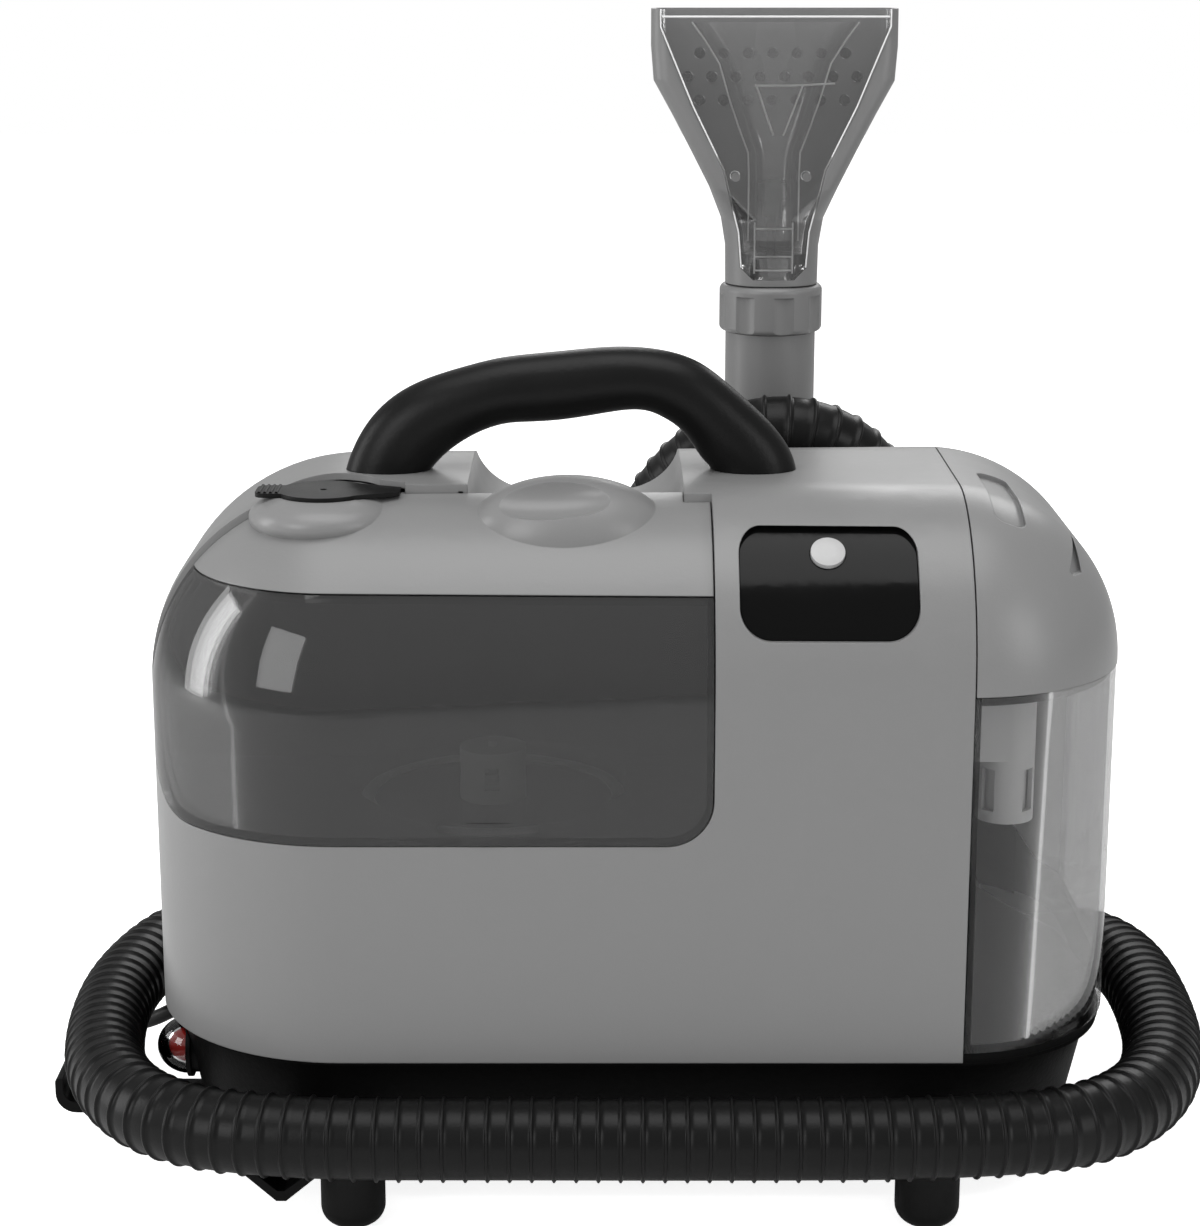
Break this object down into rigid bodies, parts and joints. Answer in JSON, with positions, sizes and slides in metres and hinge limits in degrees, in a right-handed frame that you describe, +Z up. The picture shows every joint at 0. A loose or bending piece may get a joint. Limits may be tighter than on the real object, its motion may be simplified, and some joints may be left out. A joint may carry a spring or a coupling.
{
  "type": "spot extractor",
  "caption": "Domed portable spot extractor: clean and recovery tanks, carrying handle, hose wrapped round the base, wand with clear nozzle clipped upright behind.",
  "frame": {"origin": "on the floor, under the middle of the domed body, between its four feet", "axes": "+X to the right as seen from the front, +Y to the rear, where the wand is clipped, +Z up"},
  "size_m": [0.5157, 0.3353, 0.489],
  "materials": {
    "black_gloss": "polished black plastic",
    "black_grip": "satin black moulded grip",
    "black_plastic": "black moulded plastic",
    "black_rubber": "black rubber",
    "bristle": "nylon bristles",
    "clear": "clear transparent plastic",
    "clear_soft": "clear flexible plastic",
    "cord_black": "black cord sheath",
    "dark_plastic": "dark grey plastic",
    "filter_foam": "open foam",
    "hose_black": "ribbed black flexible hose",
    "red_plastic": "translucent red rocker",
    "shell_grey": "fine matt moulded ABS",
    "silver_plastic": "silver-grey button",
    "smoked_clear": "smoked transparent plastic",
    "steel": "zinc-plated steel",
    "wand_grey": "mid-grey moulded plastic",
    "white_plastic": "natural plastic"
  },
  "bodies": {
    "body": {"main_shell": "shell_grey", "control_panel": "black_gloss", "button_switch": "dark_plastic", "button_spring": "steel", "base_tray": "black_plastic", "feet": "black_rubber", "hose_rest": "black_plastic", "switch_body": "black_plastic", "switch_boot": "clear_soft", "handle": "black_grip", "handle_screws": "steel", "wand_cuff": "wand_grey", "wand_tube": "wand_grey", "trigger_spring": "steel", "wand_clip": "shell_grey", "hose": "hose_black", "hose_socket": "black_plastic", "hose_cuff": "black_plastic", "hose_elbow": "black_plastic", "dirty_water_duct": "dark_plastic", "blower_housing": "dark_plastic", "vacuum_motor": "steel", "motor_mount": "black_rubber", "air_filter": "filter_foam", "air_hose": "black_rubber", "water_pump": "dark_plastic", "feed_tube": "clear_soft", "cord_gland": "black_rubber", "power_cord": "cord_black", "cord_coil": "cord_black", "cord_winder": "shell_grey", "power_plug": "black_plastic", "bar_spring": "steel"},
    "release_bar": {"release_bar": "shell_grey"},
    "clean_tank": {"clean_tank": "smoked_clear", "valve_cage": "white_plastic", "valve_spring": "steel", "tank_lid": "shell_grey", "lid_seal": "black_rubber"},
    "valve": {"valve_poppet": "white_plastic"},
    "fill_plug": {"fill_plug": "black_rubber"},
    "recovery_tank": {"recovery_tank": "clear", "catch_wall": "dark_plastic", "recovery_cap": "shell_grey", "recovery_seal": "black_rubber", "tank_insert": "dark_plastic"},
    "float": {"float": "white_plastic"},
    "push_button": {"push_button": "silver_plastic"},
    "rocker": {"rocker": "red_plastic"},
    "trigger": {"trigger": "wand_grey"},
    "collar": {"collar": "wand_grey"},
    "nozzle": {"nozzle_front": "clear", "nozzle_back": "wand_grey", "brush_tufts": "bristle", "nozzle_screws": "steel", "spray_jet": "dark_plastic"},
    "rotor": {"impeller": "dark_plastic", "motor_shaft": "steel"},
    "socket_latch": {"socket_latch": "black_plastic"},
    "cord_hook": {"cord_hook": "shell_grey"}
  },
  "joints": [
    {"name": "tank_slide", "type": "slide", "parent": "body", "child": "clean_tank", "axis": [0, -1, 0], "range_m": [0, 0.12]},
    {"name": "plug_hinge", "type": "hinge", "parent": "clean_tank", "child": "fill_plug", "pos_m": [-0.0985, -0.04, 0.2979], "axis": [0, 1, 0], "range_deg": [0, 90]},
    {"name": "valve_lift", "type": "slide", "parent": "clean_tank", "child": "valve", "axis": [0, 0, 1], "range_m": [0, 0.003], "stiffness_N_per_m": 300, "deforming": ["valve_spring"]},
    {"name": "bar_press", "type": "slide", "parent": "body", "child": "release_bar", "axis": [0, 0, -1], "range_m": [0, 0.003], "stiffness_N_per_m": 400, "springref_m": -0.002, "deforming": ["bar_spring"]},
    {"name": "recovery_slide", "type": "slide", "parent": "body", "child": "recovery_tank", "axis": [0, 0, 1], "range_m": [0, 0.16]},
    {"name": "float_rise", "type": "slide", "parent": "recovery_tank", "child": "float", "axis": [0, 0, 1], "range_m": [0, 0.025]},
    {"name": "button_press", "type": "slide", "parent": "body", "child": "push_button", "axis": [0, 0.6561, -0.7547], "range_m": [0, 0.002], "stiffness_N_per_m": 500, "springref_m": -0.001},
    {"name": "rocker_tilt", "type": "hinge", "parent": "body", "child": "rocker", "pos_m": [-0.194, -0.038, 0.05], "axis": [0, 1, 0], "range_deg": [0, 16]},
    {"name": "trigger_pull", "type": "hinge", "parent": "body", "child": "trigger", "pos_m": [0.067, 0.1711, 0.306], "axis": [1, 0, 0], "range_deg": [0, 2.5], "stiffness_Nm_per_rad": 0.6, "springref_deg": -1.15},
    {"name": "collar_turn", "type": "hinge", "parent": "body", "child": "collar", "pos_m": [0.067, 0.152, 0.35], "axis": [0, 0, 1], "range_deg": [0, 60]},
    {"name": "nozzle_lift", "type": "slide", "parent": "body", "child": "nozzle", "axis": [0, 0, 1], "range_m": [0, 0.05]},
    {"name": "rotor_spin", "type": "hinge", "parent": "body", "child": "rotor", "pos_m": [0.08, 0.002, 0.17], "axis": [0, 0, 1], "continuous": true},
    {"name": "latch_flex", "type": "hinge", "parent": "body", "child": "socket_latch", "pos_m": [0.022, 0.1465, 0.02], "axis": [1, 0, 0], "range_deg": [0, 8], "stiffness_Nm_per_rad": 0.5, "springref_deg": -1.15},
    {"name": "hook_turn", "type": "hinge", "parent": "body", "child": "cord_hook", "pos_m": [-0.109, 0.13, 0.234], "axis": [0, 1, 0], "range_deg": [0, 180]}
  ]
}
